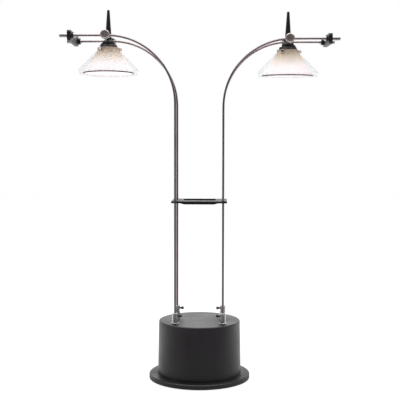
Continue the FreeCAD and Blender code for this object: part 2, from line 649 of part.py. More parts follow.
def build_handle(arm):
    handle = turned(f"handle_{arm}", [
        ("peg_radius + peg_gap", "handle_base"), ("handle_foot_radius", "handle_base"),
        ("handle_tip_radius", "handle_top - handle_tip_radius"),
        ("0", "handle_top", "handle_tip_radius", 1),
        ("0", "handle_base + peg_long + peg_gap"),
        ("peg_radius + peg_gap", "handle_base + peg_long + peg_gap")])
    keep(handle)
    return [handle]


def build_light(arm):
    face = f"({under_brim} - holder_tall)"
    gallery = turned(f"gallery_ring_{arm}", [
        (gallery_bore, under_brim), ("gallery_radius", under_brim),
        ("gallery_radius", f"{under_brim} - gallery_tall"), (gallery_bore, f"{under_brim} - gallery_tall")])
    holder = turned(f"lamp_holder_{arm}", [
        ("0", under_brim), (holder_radius, under_brim), (holder_radius, f"{face} + holder_edge"),
        (f"{holder_radius} - holder_edge", face), ("0", face)])
    pinch_top = f"({face} - capsule_gap)"
    shoulder = f"({pinch_top} - pinch_tall + fuse_depth)"
    bulb = new_body(f"halogen_capsule_{arm}")
    box(bulb, ("pinch_wide", "pinch_thick", "pinch_tall"),
        ("-pinch_wide / 2", "-pinch_thick / 2", f"{pinch_top} - pinch_tall"))
    add_turned(bulb, [
        ("0", shoulder), ("capsule_radius - capsule_round", shoulder),
        ("capsule_radius", f"{shoulder} - capsule_round", "capsule_round", -1),
        ("capsule_radius", f"{shoulder} - capsule_tall + capsule_radius"),
        ("0", f"{shoulder} - capsule_tall", "capsule_radius", -1)])
    for pin in (-1, 1):
        across = f"{pin} * pin_spread"
        cylinder(bulb, "pin_radius", "pin_long + fuse_depth", (across, "0", f"{pinch_top} - fuse_depth"))
        cylinder(holder, "pin_radius + pin_gap", "pin_long + pin_gap", (across, "0", face), cut=True)
    pieces = [gallery, holder, bulb]
    for piece in pieces:
        keep(piece)
    return pieces


def build_glass(arm):
    slope = "((frosted_rim_radius - glass_neck_radius) / (frosted_rim - glass_neck_foot))"
    neck_inner, rim_inner = "(glass_neck_radius - glass_wall)", "(frosted_rim_radius - glass_wall)"
    frosted = turned(f"shade_frosted_{arm}", [
        (glass_mouth, "-glass_top"), ("glass_neck_radius - glass_round", "-glass_top"),
        ("glass_neck_radius", "-glass_top - glass_round", "glass_round", -1),
        ("glass_neck_radius", "-glass_neck_foot"), ("frosted_rim_radius", "-frosted_rim"),
        ("frosted_rim_radius", "-frosted_rim - frosted_lip"), (rim_inner, "-frosted_rim - frosted_lip"),
        (rim_inner, "-frosted_rim - glass_step"), (neck_inner, "-glass_neck_foot - glass_step"),
        (neck_inner, "-glass_top - glass_wall"), (glass_mouth, "-glass_top - glass_wall")])
    cone_top, cone_flare = (f"(glass_neck_radius + glue_gap + {slope} * ({drop} - glass_neck_foot))"
                            for drop in ("clear_top", "clear_flare"))
    clear = turned(f"shade_clear_{arm}", [
        (cone_top, "-clear_top"), (f"{cone_top} + clear_lip", "-clear_top"),
        (f"{cone_flare} + clear_wall", "-clear_flare + clear_bend"),
        ("clear_wide_radius - clear_turn", "-clear_wide + clear_turn"),
        ("clear_wide_radius", "-clear_wide - clear_roll", "clear_roll_radius", -1),
        ("clear_rim_radius", "-clear_rim"), ("clear_rim_radius - clear_wall", "-clear_rim"),
        ("clear_wide_radius - clear_wall", "-clear_wide - clear_roll"),
        ("clear_wide_radius - clear_wall - clear_bend", "-clear_wide + clear_bend"),
        (cone_flare, "-clear_flare")])
    screws = new_body(f"gallery_screws_{arm}")
    for degrees in (0, 120, 240):
        angle = math.radians(degrees)
        outward = Vector(math.cos(angle), math.sin(angle), 0)

        def at(radius):
            across, along = f"({radius}) * cos({degrees} deg)", f"({radius}) * sin({degrees} deg)"
            return across, along, "-gallery_screw_drop"

        cylinder(frosted, "gallery_screw_radius + gallery_screw_gap", "glass_neck_radius - gallery_radius",
                 at("gallery_radius"), outward, cut=True)
        cylinder(screws, "gallery_screw_radius", f"{gallery_head_start} - gallery_radius - seat_gap",
                 at("gallery_radius + seat_gap"), outward)
        cylinder(screws, "gallery_head_radius", "gallery_head_long", at(gallery_head_start), outward)
    pieces = [frosted, clear, screws]
    for piece in pieces:
        keep(piece)
    return pieces


def build_head(arm, side):
    pieces = build_clamps(arm) + build_pivot(arm) + build_head_body(arm, side)
    pieces += build_handle(arm) + build_light(arm) + build_glass(arm)
    for piece in pieces:
        set_on_arm(piece, arm, f"{side} * {arm}_head_reach")


build_foot_pad()
base_disc = build_base_disc()
build_drum()
build_housing_screws()
build_transformer()
build_strap(base_disc)
build_inlet()
build_sockets()
build_grip_screws()
build_rods()
build_bridge()
for arm_name, arm_side in ARMS.items():
    build_arm_end(arm_name, arm_side)
    build_head(arm_name, arm_side)
doc.recompute()

# ---------------------------------------------------------------- checks and export
failed = [item.Name for item in doc.Objects if "Invalid" in item.State or "Error" in item.State]
if failed:
    raise RuntimeError(f"these failed: {failed}")
os.makedirs("parts", exist_ok=True)
for node in NODES:
    if node.Shape.isNull() or not node.Shape.isValid():
        raise RuntimeError(f"{node.Label} has no valid shape")
for node in NODES:
    node.Shape.exportStep(f"parts/{node.Label}.step")
    print(f"{node.Label:26s} solids {len(node.Shape.Solids)} volume {node.Shape.Volume:10.1f}")
print(len(NODES), "nodes")
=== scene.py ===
# %% [markdown]
# # A twin-arm halogen table lamp
# Two arms of paired steel rods stand in a black drum, and each carries a small head with a glass
# shade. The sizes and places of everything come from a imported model, which is loaded first and is
# never moved. Blender's part is the finish of every surface, and finer shapes where it's plain.

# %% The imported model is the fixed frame
import bmesh
import bpy
import json
import math
from mathutils import Matrix, Vector


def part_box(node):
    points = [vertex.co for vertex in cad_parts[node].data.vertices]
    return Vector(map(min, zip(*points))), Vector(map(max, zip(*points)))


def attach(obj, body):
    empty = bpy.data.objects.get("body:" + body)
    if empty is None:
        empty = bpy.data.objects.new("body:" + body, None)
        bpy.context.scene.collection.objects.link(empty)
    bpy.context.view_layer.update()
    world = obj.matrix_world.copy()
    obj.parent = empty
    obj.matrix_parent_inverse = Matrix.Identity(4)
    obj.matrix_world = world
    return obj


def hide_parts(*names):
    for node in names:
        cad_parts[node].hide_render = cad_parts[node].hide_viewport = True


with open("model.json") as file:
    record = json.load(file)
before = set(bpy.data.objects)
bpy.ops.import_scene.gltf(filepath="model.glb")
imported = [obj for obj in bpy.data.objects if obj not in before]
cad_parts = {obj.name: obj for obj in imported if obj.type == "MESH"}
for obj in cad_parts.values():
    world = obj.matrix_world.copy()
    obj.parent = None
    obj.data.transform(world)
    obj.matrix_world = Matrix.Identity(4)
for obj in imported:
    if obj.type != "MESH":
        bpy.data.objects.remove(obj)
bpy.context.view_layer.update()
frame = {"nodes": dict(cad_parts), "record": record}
MM = 0.001
ARMS = {"left": -1, "right": 1}
ROWS = {"front": -1, "rear": 1}

# %% [markdown]
# The camera stands where a person at the other side of a table would: a little above the middle
# of the lamp, looking slightly down, with a long lens so that the lamp isn't stretched. It is made
# from its distance, its height, a small shift aside and three angles, so that each can be changed
# by itself.

# %% Camera
CAMERA_DISTANCE = 1.3318
CAMERA_HEIGHT = 0.364
CAMERA_TURN = math.radians(1.44)
CAMERA_PITCH = math.radians(3.43)
CAMERA_ROLL = math.radians(0.09)
CAMERA_ASIDE = 0.00057
SENSOR_WIDTH = 36.0
LENS_LENGTH = 75.87


def make_camera():
    data = bpy.data.cameras.new("table_view")
    data.sensor_width = SENSOR_WIDTH
    data.lens = LENS_LENGTH
    camera = bpy.data.objects.new("table_view", data)
    bpy.context.scene.collection.objects.link(camera)
    right = Vector((math.cos(CAMERA_TURN), math.sin(CAMERA_TURN), 0.0))
    level = Vector((-math.sin(CAMERA_TURN), math.cos(CAMERA_TURN), 0.0))
    ahead = level * math.cos(CAMERA_PITCH) - Vector((0, 0, 1)) * math.sin(CAMERA_PITCH)
    above = right.cross(ahead)
    turned_right = right * math.cos(CAMERA_ROLL) + above * math.sin(CAMERA_ROLL)
    turned_above = above * math.cos(CAMERA_ROLL) - right * math.sin(CAMERA_ROLL)
    place = right * CAMERA_ASIDE - level * CAMERA_DISTANCE + Vector((0, 0, CAMERA_HEIGHT))
    axes = Matrix((turned_right, turned_above, -ahead)).transposed()
    camera.matrix_world = Matrix.Translation(place) @ axes.to_4x4()
    return camera


bpy.context.scene.camera = make_camera()
bpy.context.scene.view_settings.view_transform = "Standard"
print("camera at", tuple(round(v, 3) for v in bpy.context.scene.camera.location))

# %% [markdown]
# Every colour below is written as the hex value a paint chart gives. Those values are curved for
# screens, so one function straightens them into the linear numbers that shaders add up. One more
# function adds a node with its settings and links, and the rest are built from these two.

# %% Colours and nodes
def linear(hex_colour):
    """Linear colour of an sRGB hex value such as "#1c1c1e"."""
    parts = [int(hex_colour[i:i + 2], 16) / 255 for i in (1, 3, 5)]
    return [c / 12.92 if c <= 0.04045 else ((c + 0.055) / 1.055) ** 2.4 for c in parts] + [1.0]


def add_node(tree, kind, inputs=None, **settings):
    """Adds one node; a socket given as an input is linked, anything else becomes its value."""
    node = tree.nodes.new(kind)
    for name, value in settings.items():
        setattr(node, name, value)
    for name, value in (inputs or {}).items():
        socket = node.inputs[name]
        if isinstance(value, bpy.types.NodeSocket):
            tree.links.new(value, socket)
        else:
            socket.default_value = value
    return node


def start_material(name, **sockets):
    """A named material whose principled shader takes the given constants."""
    material = bpy.data.materials.new(name)
    material.use_nodes = True
    shader = material.node_tree.nodes["Principled BSDF"]
    for label, value in sockets.items():
        shader.inputs[label.replace("_", " ")].default_value = value
    return material, material.node_tree, shader


print("test colour:", [round(c, 3) for c in linear("#808080")])

# %% [markdown]
# No real surface is one flat value. Its colour drifts a little, its gloss drifts with handling and
# moulding, and its skin has a texture. Each of these is one function, driven by soft noise whose
# grain has a real size in millimetres.

# %% What makes a surface uneven
MIDDLE_OF_NOISE = (0.3, 0.7)


def grain(tree, size_mm, detail=2.0):
    """Soft noise whose grains measure size_mm on the real thing."""
    place = add_node(tree, "ShaderNodeTexCoord").outputs["Object"]
    return add_node(tree, "ShaderNodeTexNoise", {"Vector": place, "Scale": 1000.0 / size_mm,
                                                 "Detail": detail}).outputs["Fac"]


def vary(tree, driver, shader, socket, low, high):
    """Lets a socket wander between two values as the driver goes through its middle range."""
    start, end = MIDDLE_OF_NOISE
    spread = add_node(tree, "ShaderNodeMapRange", {"Value": driver, "From Min": start,
                                                   "From Max": end, "To Min": low, "To Max": high})
    tree.links.new(spread.outputs["Result"], shader.inputs[socket])


def colour_ramp(tree, driver, *stops):
    """A ramp through (position, hex colour) stops."""
    ramp = add_node(tree, "ShaderNodeValToRGB", {"Fac": driver})
    elements = ramp.color_ramp.elements
    first, *between, last = stops
    for element, (position, colour) in zip(elements, (first, last)):
        element.position, element.color = position, linear(colour)
    for position, colour in between:
        elements.new(position).color = linear(colour)
    return ramp.outputs["Color"]


def tint(tree, driver, shader, dark, light):
    """Mixes two close colours by the driver."""
    start, end = MIDDLE_OF_NOISE
    tree.links.new(colour_ramp(tree, driver, (start, dark), (end, light)),
                   shader.inputs["Base Color"])


def rough_up(tree, shader, height, depth_mm):
    """Bump of a real depth in millimetres."""
    bump = add_node(tree, "ShaderNodeBump", {"Height": height, "Distance": depth_mm * MM,
                                             "Strength": 1.0})
    tree.links.new(bump.outputs["Normal"], shader.inputs["Normal"])


print("noise counts between", MIDDLE_OF_NOISE)

# %% [markdown]
# The drum is moulded in black ABS. ABS comes out of the mould with the fine spark texture of the
# tool: it looks nearly black face on, and turns grey where light skims it, because a satin surface
# reflects the pale room at low angles. Real spark is about 0.1 mm, too fine to show from across a
# table, so it's drawn at 0.8 mm. The head and the end bars take heat, so they are glass-filled
# nylon, which is blacker than ABS and has short pale fibres just under its skin.

# %% Black plastics
def make_satin_abs():
    material, tree, shader = start_material("satin_black_abs", Roughness=0.4, IOR=1.53)
    tint(tree, grain(tree, 22.0), shader, "#140f14", "#1a151a")
    vary(tree, grain(tree, 35.0), shader, "Roughness", 0.34, 0.44)
    rough_up(tree, shader, grain(tree, 0.8), 0.03)
    return material


def make_glass_filled_nylon():
    material, tree, shader = start_material("glass_filled_nylon", Roughness=0.5, IOR=1.45)
    tint(tree, grain(tree, 1.2, 4.0), shader, "#0b090a", "#141112")
    vary(tree, grain(tree, 6.0), shader, "Roughness", 0.34, 0.5)
    rough_up(tree, shader, grain(tree, 0.6), 0.02)
    return material


satin_abs = make_satin_abs()
glass_filled_nylon = make_glass_filled_nylon()
print("made", satin_abs.name, "and", glass_filled_nylon.name)

# %% [markdown]
# The steel disc is powder coated. The powder melts into a skin with faint orange peel, about a
# millimetre and a half from dip to dip. The pad under it is moulded rubber, dull and a bit dusty.

# %% Powder coat and rubber
def make_powder_coat():
    material, tree, shader = start_material("satin_powder_coat", Roughness=0.45, IOR=1.5)
    tint(tree, grain(tree, 18.0), shader, "#0f0f10", "#171618")
    vary(tree, grain(tree, 25.0), shader, "Roughness", 0.38, 0.52)
    rough_up(tree, shader, grain(tree, 1.6, 1.0), 0.04)
    return material


def make_rubber():
    material, tree, shader = start_material("moulded_rubber", Roughness=0.8, IOR=1.52)
    tint(tree, grain(tree, 5.0), shader, "#121212", "#1e1d1c")
    rough_up(tree, shader, grain(tree, 0.9), 0.05)
    return material


powder_coat = make_powder_coat()
moulded_rubber = make_rubber()
print("made", powder_coat.name, "and", moulded_rubber.name)

# %% [markdown]
# Chrome plate is smooth as a mirror, so nearly all of its look is the room around it. Drawn steel
# rod is rougher: the die leaves scratches far too fine to draw, and they show only as a blur of
# what the rod mirrors. The ball heads of the grip screws are plated as smoothly as the chrome, and
# their chrome is painted much darker: painted shade for the dark that they mirror.

# %% Chrome, steel and chrome with painted shade
def make_chrome_plate():
    material, tree, shader = start_material("chrome_plate", Metallic=1.0, Roughness=0.12)
    tint(tree, grain(tree, 4.0), shader, "#b5b1b5", "#cfccd0")
    vary(tree, grain(tree, 3.0, 3.0), shader, "Roughness", 0.08, 0.2)
    rough_up(tree, shader, grain(tree, 1.5), 0.004)
    return material


def make_painted_shade_chrome():
    material, tree, shader = start_material("painted_shade_chrome_plate", Metallic=1.0, Roughness=0.16)
    # Painted shade: this chrome is coloured much darker, for the dark that the ball heads mirror.
    tint(tree, grain(tree, 3.0), shader, "#5a5355", "#6d6668")
    vary(tree, grain(tree, 2.0), shader, "Roughness", 0.1, 0.22)
    rough_up(tree, shader, grain(tree, 1.2), 0.004)
    return material


def make_drawn_steel():
    material, tree, shader = start_material("drawn_steel", Metallic=1.0, Roughness=0.24)
    tint(tree, grain(tree, 30.0), shader, "#94888b", "#a3979a")
    vary(tree, grain(tree, 12.0), shader, "Roughness", 0.2, 0.28)
    rough_up(tree, shader, grain(tree, 3.0), 0.002)
    return material


chrome_plate = make_chrome_plate()
painted_shade_chrome = make_painted_shade_chrome()
drawn_steel = make_drawn_steel()
print("made", chrome_plate.name, painted_shade_chrome.name, drawn_steel.name)

# %% [markdown]
# Some patterns are regular: the rings a lathe leaves on a knob's face, the sheets of a transformer
# core, the turns of its winding. A wave texture draws them. It counts in radians, and at a scale
# of 1 its ridges stand 0.314 m apart. Here the rings are drawn 2.8 mm apart, the sheets 6.3 mm and
# the turns 5.7 mm. Real rings are a fraction of a millimetre apart, real sheets half a millimetre
# and real turns about one, which is too fine to show from across a table. The sheets and turns are
# inside the closed drum.

# %% Metals with a pattern
WAVE_SPACING = 2 * math.pi / 20
RING_SPACING, SHEET_SPACING, TURN_SPACING = 0.9 * math.pi, 2.0 * math.pi, 1.8 * math.pi


def ridges(tree, spacing_mm, **settings):
    """Ridges that stand spacing_mm apart."""
    place = add_node(tree, "ShaderNodeTexCoord").outputs["Object"]
    scale = WAVE_SPACING / (spacing_mm * MM)
    return add_node(tree, "ShaderNodeTexWave", {"Vector": place, "Scale": scale},
                    **settings).outputs["Fac"]


def make_turned_chrome():
    """A plated face that kept the rings of the lathe, so it scatters what chrome mirrors."""
    material, tree, shader = start_material("turned_chrome", Metallic=1.0, Roughness=0.36)
    tint(tree, grain(tree, 1.6, 3.0), shader, "#b0a4a2", "#d2c8c6")
    vary(tree, grain(tree, 1.2, 2.0), shader, "Roughness", 0.28, 0.46)
    rings = ridges(tree, RING_SPACING, wave_type="RINGS", rings_direction="Z")
    rough_up(tree, shader, rings, 0.02)
    return material


def make_core_lamination():
    material, tree, shader = start_material("silicon_steel_stack", Metallic=1.0, Roughness=0.5)
    sheets = ridges(tree, SHEET_SPACING, bands_direction="Y")
    tint(tree, sheets, shader, "#4c4d52", "#7c7d82")
    rough_up(tree, shader, sheets, 0.05)
    return material


def make_copper_wire():
    material, tree, shader = start_material("enamelled_copper", Metallic=1.0, Roughness=0.3)
    turns = ridges(tree, TURN_SPACING, bands_direction="Z")
    tint(tree, turns, shader, "#7a3a1e", "#c8743c")
    rough_up(tree, shader, turns, 0.3)
    return material


core_lamination = make_core_lamination()
turned_chrome = make_turned_chrome()
copper_wire = make_copper_wire()
print("made", core_lamination.name, turned_chrome.name, copper_wire.name)

# %% [markdown]
# Brass is turned and left bare where the current passes, and small screws are zinc plated, which
# looks greyer and duller than chrome. Both have only fine marks of the tool.

# %% Brass and zinc
def make_turned_brass():
    material, tree, shader = start_material("turned_brass", Metallic=1.0, Roughness=0.28)
    tint(tree, grain(tree, 4.0), shader, "#b48a4a", "#cda766")
    rough_up(tree, shader, grain(tree, 0.5), 0.006)
    return material


def make_zinc_plate():
    material, tree, shader = start_material("zinc_plate", Metallic=1.0, Roughness=0.35)
    tint(tree, grain(tree, 2.5), shader, "#9c9da3", "#b9bac0")
    rough_up(tree, shader, grain(tree, 0.8), 0.006)
    return material


turned_brass = make_turned_brass()
zinc_plate = make_zinc_plate()
print("made", turned_brass.name, "and", zinc_plate.name)

# %% [markdown]
# The inner shade is glass etched on both faces, which turns it milky: half of the light it sends
# on comes through from the other side. Its neck is painted a warm grey up its height: painted shade
# from the brass and the ceramic inside. Where the wall was cut at the lip, one looks along it and
# sees a dark line, because the etched skins took the light; that line is painted on as a near-black
# band.

# %% Etched glass
# Painted shade: the white etched glass darkens to a warm grey up its neck, where the brass and the
# ceramic inside shade it.
NECK_PAINTED_SHADE = [(0.35, "#fdf7f8"), (0.6, "#f3ebe4"), (0.76, "#e6d9cb"), (0.9, "#cbbcad"),
             (1.0, "#b9ac9f")]
LIGHT_THROUGH = 0.5


def make_etched_glass():
    material, tree, shader = start_material("etched_white_glass", Roughness=0.5, IOR=1.5)
    place = add_node(tree, "ShaderNodeTexCoord").outputs["Generated"]
    height = add_node(tree, "ShaderNodeSeparateXYZ", {"Vector": place}).outputs["Z"]
    # The ramp carries the neck's painted shade into the colour and into the light let through.
    white = colour_ramp(tree, height, *NECK_PAINTED_SHADE)
    tree.links.new(white, shader.inputs["Base Color"])
    rough_up(tree, shader, grain(tree, 0.7), 0.02)
    through = add_node(tree, "ShaderNodeBsdfTranslucent", {"Color": white})
    milk = add_node(tree, "ShaderNodeMixShader", {"Fac": LIGHT_THROUGH})
    tree.links.new(shader.outputs[0], milk.inputs[1])
    tree.links.new(through.outputs[0], milk.inputs[2])
    tree.links.new(milk.outputs[0], tree.nodes["Material Output"].inputs["Surface"])
    return material


def make_painted_lip_shade():
    material, tree, shader = start_material("painted_lip_shade", Roughness=0.12, IOR=1.5)
    # Painted shade: a near-black band round the lip stands for the dark line that one sees looking
    # along the cut glass.
    tint(tree, grain(tree, 5.0), shader, "#040303", "#100f0f")
    vary(tree, grain(tree, 7.0), shader, "Roughness", 0.08, 0.25)
    rough_up(tree, shader, grain(tree, 2.0), 0.01)
    return material


etched_glass = make_etched_glass()
painted_lip_shade = make_painted_lip_shade()
print("made", etched_glass.name, "and", painted_lip_shade.name)

# %% [markdown]
# The outer shade is the same glass left clear. A thin wall can hardly be seen face on. Toward its
# outline the way through it gets longer, so it greys, bends what is behind it and mirrors the
# room. So the wall is open where it faces the viewer, and solid glass comes in as it turns away.
# The grey of the open wall towards the outline is painted: partly the real greying, partly painted
# shade standing for the bending and mirroring.
# Light that only has to pass, such as light for the inner shade, always goes straight through.

# %% Clear glass
def make_clear_glass():
    material, tree, shader = start_material("clear_blown_glass", Roughness=0.02, IOR=1.5)
    shader.inputs["Base Color"].default_value = linear("#fbfbfc")
    shader.inputs["Transmission Weight"].default_value = 1.0
    rough_up(tree, shader, grain(tree, 14.0, 1.0), 0.02)
    ray = add_node(tree, "ShaderNodeLightPath").outputs
    scattered = add_node(tree, "ShaderNodeMath", {0: ray["Is Shadow Ray"],
                                                  1: ray["Is Diffuse Ray"]}, operation="MAXIMUM")
    tilt = add_node(tree, "ShaderNodeLayerWeight", {"Blend": 0.5}).outputs["Facing"]
    facing_share = add_node(tree, "ShaderNodeMapRange", {"Value": tilt, "From Min": 0.6,
                                                         "From Max": 0.98, "To Min": 1.0,
                                                         "To Max": 0.7})
    open_share = add_node(tree, "ShaderNodeMath", {0: scattered.outputs[0],
                                                   1: facing_share.outputs["Result"]},
                          operation="MAXIMUM")
    # Partly painted shade: the open wall greys towards its outline, for its longer path and for the
    # bending and mirroring of the room.
    outline = colour_ramp(tree, tilt, (0.8, "#fbfcfc"), (0.98, "#c9c6c8"))
    open_air = add_node(tree, "ShaderNodeBsdfTransparent", {"Color": outline})
    wall = add_node(tree, "ShaderNodeMixShader", {"Fac": open_share.outputs[0]})
    tree.links.new(shader.outputs[0], wall.inputs[1])
    tree.links.new(open_air.outputs[0], wall.inputs[2])
    tree.links.new(wall.outputs[0], tree.nodes["Material Output"].inputs["Surface"])
    return material


clear_glass = make_clear_glass()
print("made", clear_glass.name)

# %% [markdown]
# The lamp holder is steatite, a soft cream ceramic that stands the heat, with a dry matt skin. The
# bobbin inside the drum is nylon in its own cloudy colour.

# %% Ceramic and nylon
def make_steatite():
    material, tree, shader = start_material("steatite_ceramic", Roughness=0.45, IOR=1.6)
    tint(tree, grain(tree, 2.0), shader, "#e2dccd", "#f0ebdf")
    rough_up(tree, shader, grain(tree, 0.6), 0.01)
    return material


def make_natural_nylon():
    material, tree, shader = start_material("natural_nylon", Roughness=0.45, IOR=1.53)
    tint(tree, grain(tree, 3.0), shader, "#cfc9b8", "#ded9ca")
    rough_up(tree, shader, grain(tree, 0.8), 0.02)
    return material


steatite = make_steatite()
natural_nylon = make_natural_nylon()
print("made", steatite.name, "and", natural_nylon.name)

# %% [markdown]
# Each node of the model keeps its own mesh, and takes the finish of its material slot; only the
# grip screws differ from the rest of the chrome, as their chrome is painted darker as shade. Faces
# that meet at a shallow angle are shaded as one curve, and the rest stay crisp.

# %% Finishes on the model's own pieces
FINISH = {
    "foot_rubber": moulded_rubber, "disc_paint": powder_coat, "drum_plastic": satin_abs,
    "zinc_screws": zinc_plate, "core_steel": core_lamination, "bobbin_nylon": natural_nylon,
    "copper_wire": copper_wire, "chrome": chrome_plate, "brass": turned_brass,
    "black_nylon": glass_filled_nylon, "rod_steel": drawn_steel, "steatite": steatite,
    "quartz": clear_glass, "frosted_glass": etched_glass, "clear_glass": clear_glass,
}
SLOT_OF = {part["node"]: part["material_slot"] for part in frame["record"]["subparts"]}


def shade_smoothly(mesh, angle=30.0):
    """Smooth where faces meet within the angle; the import's own normals are dropped first."""
    if "custom_normal" in mesh.attributes:
        mesh.attributes.remove(mesh.attributes["custom_normal"])
    for face in mesh.polygons:
        face.use_smooth = True
    mesh.set_sharp_from_angle(angle=math.radians(angle))


for node_name, node_object in frame["nodes"].items():
    # The grip screws take the chrome with painted shade.
    is_grip = node_name.startswith("grip_screw")
    node_object.data.materials.clear()
    node_object.data.materials.append(painted_shade_chrome if is_grip else FINISH[SLOT_OF[node_name]])
    shade_smoothly(node_object.data)
print("finished nodes:", len(frame["nodes"]))

# %% [markdown]
# Most pieces of this lamp come off a lathe or out of a glass mould, so they are round. A turned
# piece is made here as its maker would think of it: half an outline, with every corner slightly
# broken, swept round an axis. A knurled band is cut into it by drawing the radius in between the
# ridges.

# %% How a turned piece is made
ROUND_STEPS = 96
TURNED_ANGLE = 50.0
NO_KNURL = (0, 0.0, 0.0, 0.0)


def soften(outline, radius_mm, steps=3):
    """Breaks each inner corner of an outline of (radius, height) points with a small arc."""
    soft = [outline[0]]
    for before, corner, after in zip(outline, outline[1:], outline[2:]):
        corner_point = Vector(corner)
        toward = [Vector(end) - corner_point for end in (before, after)]
        cut = min([radius_mm] + [way.length * 0.45 for way in toward])
        start, finish = [corner_point + way.normalized() * cut for way in toward]
        for step in range(steps + 1):
            t = step / steps
            soft.append(tuple(start * (1 - t) ** 2 + corner_point * 2 * t * (1 - t)
                              + finish * t ** 2))
    return soft + [outline[-1]]


def sweep_round(outline, knurl):
    """Points of the outline at every step round Z, row by row, as a mesh that isn't closed up."""
    ridge_count, depth, lowest, highest = knurl
    swept = bmesh.new()
    rows = []
    for radius, height in outline:
        row = []
        for step in range(ROUND_STEPS):
            turn = 2 * math.pi * step / ROUND_STEPS
            reach = radius
            if lowest <= height <= highest:
                reach = radius - depth * (0.5 - 0.5 * math.cos(ridge_count * turn))
            row.append(swept.verts.new((reach * math.cos(turn) * MM,
                                        reach * math.sin(turn) * MM, height * MM)))
        rows.append(row)
    for lower, upper in zip(rows, rows[1:]):
        for step in range(ROUND_STEPS):
            following = (step + 1) % ROUND_STEPS
            swept.faces.new((lower[step], lower[following], upper[following], upper[step]))
    return swept


def lathe(name, outline, place, material, knurl=NO_KNURL):
    """A piece turned from (radius, height) points in mm. knurl: ridges, depth, lowest, highest."""
    swept = sweep_round(outline, knurl)
    bmesh.ops.remove_doubles(swept, verts=swept.verts, dist=1e-7)
    bmesh.ops.recalc_face_normals(swept, faces=swept.faces)
    mesh = bpy.data.meshes.new(name)
    swept.to_mesh(mesh)
    swept.free()
    piece = bpy.data.objects.new(name, mesh)
    bpy.context.scene.collection.objects.link(piece)
    piece.matrix_world = place
    mesh.materials.append(material)
    shade_smoothly(mesh, TURNED_ANGLE)
    return piece


print("a turned piece has", ROUND_STEPS, "steps round")

# %% [markdown]
# A turned piece has to sit exactly where the model's own piece is, ride on the same body, and take
# its place. The heads lean a little, because their rods stand at slightly different heights, so
# each head has its own frame at its pivot. Main sizes are measured on the model in that frame.

# %% Where the turned pieces go
def stand_for(piece, body, slot, *nodes):
    """Rides on a body, and replaces nodes if any are given; slot is not used."""
    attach(piece, body)
    if nodes:
        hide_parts(*nodes)
    return piece


def head_place(arm):
    """Where a head's own frame sits: the pivot between its clamp blocks, leaning as they do."""
    points = [vertex.co for vertex in frame["nodes"][f"clamp_blocks_{arm}"].data.vertices]
    near = [point for point in points if point.y < 0]
    far = [point for point in points if point.y > 0]
    front, rear = (sum(side, Vector()) / len(side) for side in (near, far))
    lean = math.atan2(rear.z - front.z, rear.y - front.y)
    return Matrix.Translation((front + rear) / 2) @ Matrix.Rotation(lean, 4, "X")


def extent(node, place):
    """Largest radius, lowest and highest point of a node in mm, seen from a frame of its own."""
    back = place.inverted()
    points = [back @ vertex.co for vertex in frame["nodes"][node].data.vertices]
    radius = max(math.hypot(point.x, point.y) for point in points)
    return radius / MM, min(p.z for p in points) / MM, max(p.z for p in points) / MM


HEADS = {arm: head_place(arm) for arm in ARMS}
for arm, place in HEADS.items():
    print(arm, "head at", tuple(round(v, 4) for v in place.translation))

# %% [markdown]
# Both shades are blown into a turned mould. The inner one has a neck that the three gallery screws
# hold, a straight cone, and a lip that was cut and fire-polished. Its wall is even, and round its
# lip a thin near-black band is painted: painted shade for the dark line that the cut edge shows.

# %% Inner shade of etched glass
GLASS_WALL = 1.7
NECK_RADIUS, NECK_TALL = 17.2, 4.4
MOUTH_RADIUS, MOUTH_EDGE = 12.6, 0.8
LIP_TALL = 1.8
INNER_STEP = 0.4
LIP_SHADE_TALL, LIP_SHADE_WIDE = 1.7, 0.9


def cone_rows(start, end, count=8):
    """Extra points down a straight cone, so that its shading stays even."""
    return [tuple(Vector(start).lerp(Vector(end), step / count)) for step in range(1, count)]


def make_etched_shade(arm):
    rim, foot, top = extent(f"shade_frosted_{arm}", HEADS[arm])
    shoulder, neck_foot = (NECK_RADIUS, top - 0.1), (NECK_RADIUS, top - NECK_TALL)
    rim_top = (rim, foot + LIP_TALL)
    inner_rim = (rim - GLASS_WALL, foot + LIP_TALL - INNER_STEP)
    inner_neck = (NECK_RADIUS - GLASS_WALL, top - (NECK_TALL + INNER_STEP))
    mouth_start = (MOUTH_RADIUS, top - MOUTH_EDGE)
    outline = [mouth_start, (MOUTH_RADIUS, top), shoulder, neck_foot]
    outline += cone_rows(neck_foot, rim_top)
    outline += [rim_top, (rim, foot), (rim - GLASS_WALL, foot), inner_rim]
    outline += cone_rows(inner_rim, inner_neck)
    outline += [inner_neck, (NECK_RADIUS - GLASS_WALL, top - GLASS_WALL),
                (MOUTH_RADIUS, top - GLASS_WALL), mouth_start]
    piece = lathe(f"etched_shade_{arm}", soften(outline, 0.5), HEADS[arm], etched_glass)
    # The faces of the lip band take the near-black painted shade.
    piece.data.materials.append(painted_lip_shade)
    for face in piece.data.polygons:
        out = math.hypot(face.center.x, face.center.y)
        if face.center.z < (foot + LIP_SHADE_TALL) * MM and out > (rim - LIP_SHADE_WIDE) * MM:
            face.material_index = 1
    return stand_for(piece, f"{arm}_head", "frosted_glass", f"shade_frosted_{arm}")


# %% [markdown]
# The outer shade slips over the cone and hugs its neck. From there it flares, stands away from the
# cone, rolls over at its widest line and comes back in to its own rim.

# %% Outer shade of clear glass
CLEAR_WALL = 1.6
RIM_TUCK = 1.8
HUG_RADIUS, HUG_EDGE = 18.2, 18.9


